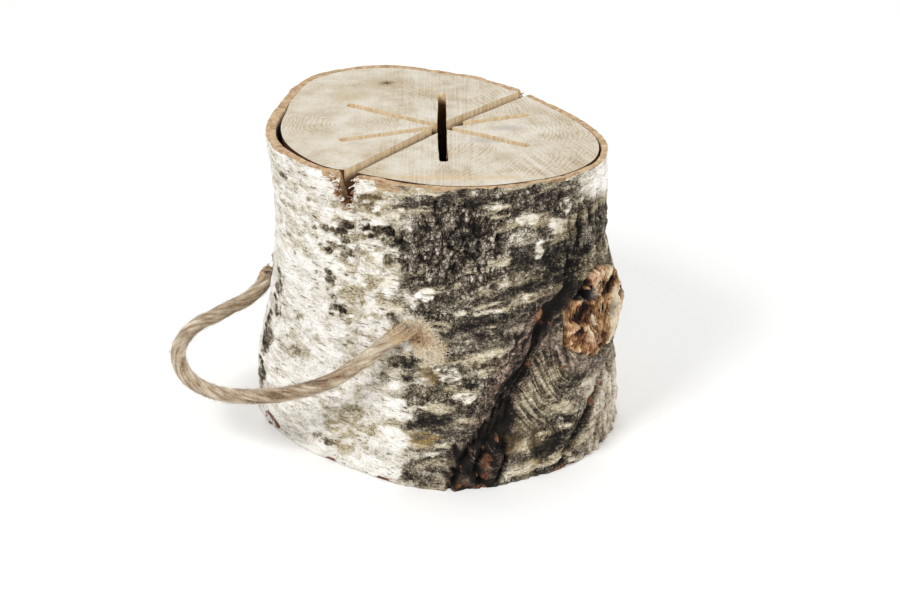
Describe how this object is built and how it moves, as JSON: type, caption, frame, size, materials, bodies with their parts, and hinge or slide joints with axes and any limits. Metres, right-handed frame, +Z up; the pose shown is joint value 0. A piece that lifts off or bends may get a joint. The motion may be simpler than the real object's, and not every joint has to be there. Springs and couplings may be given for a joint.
{
  "type": "swedish fire log",
  "caption": "Short birch log in its bark, sawn flat at both ends, with a star of saw cuts in the top to burn from the inside, a broken branch knot, and a stapled rope handle.",
  "frame": {"origin": "on the floor under the middle of the log's box, without its rope", "axes": "+Z up out of the sawn top, +Y away from the viewer of the picture, +X to their right"},
  "size_m": [0.2957, 0.2432, 0.2],
  "materials": {
    "wood": "sawn, dry, unfinished birch",
    "bark": "white birch bark with dark rough patches",
    "rope": "twisted jute rope, hairy and matt",
    "steel": "dull dark wire, slightly rusted"
  },
  "bodies": {
    "root": {"wood_log": "wood", "bark": "bark", "rope_handle": "rope", "frayed_end_front": "rope", "frayed_end_back": "rope", "staple_front": "steel", "staple_back": "steel"}
  },
  "joints": []
}
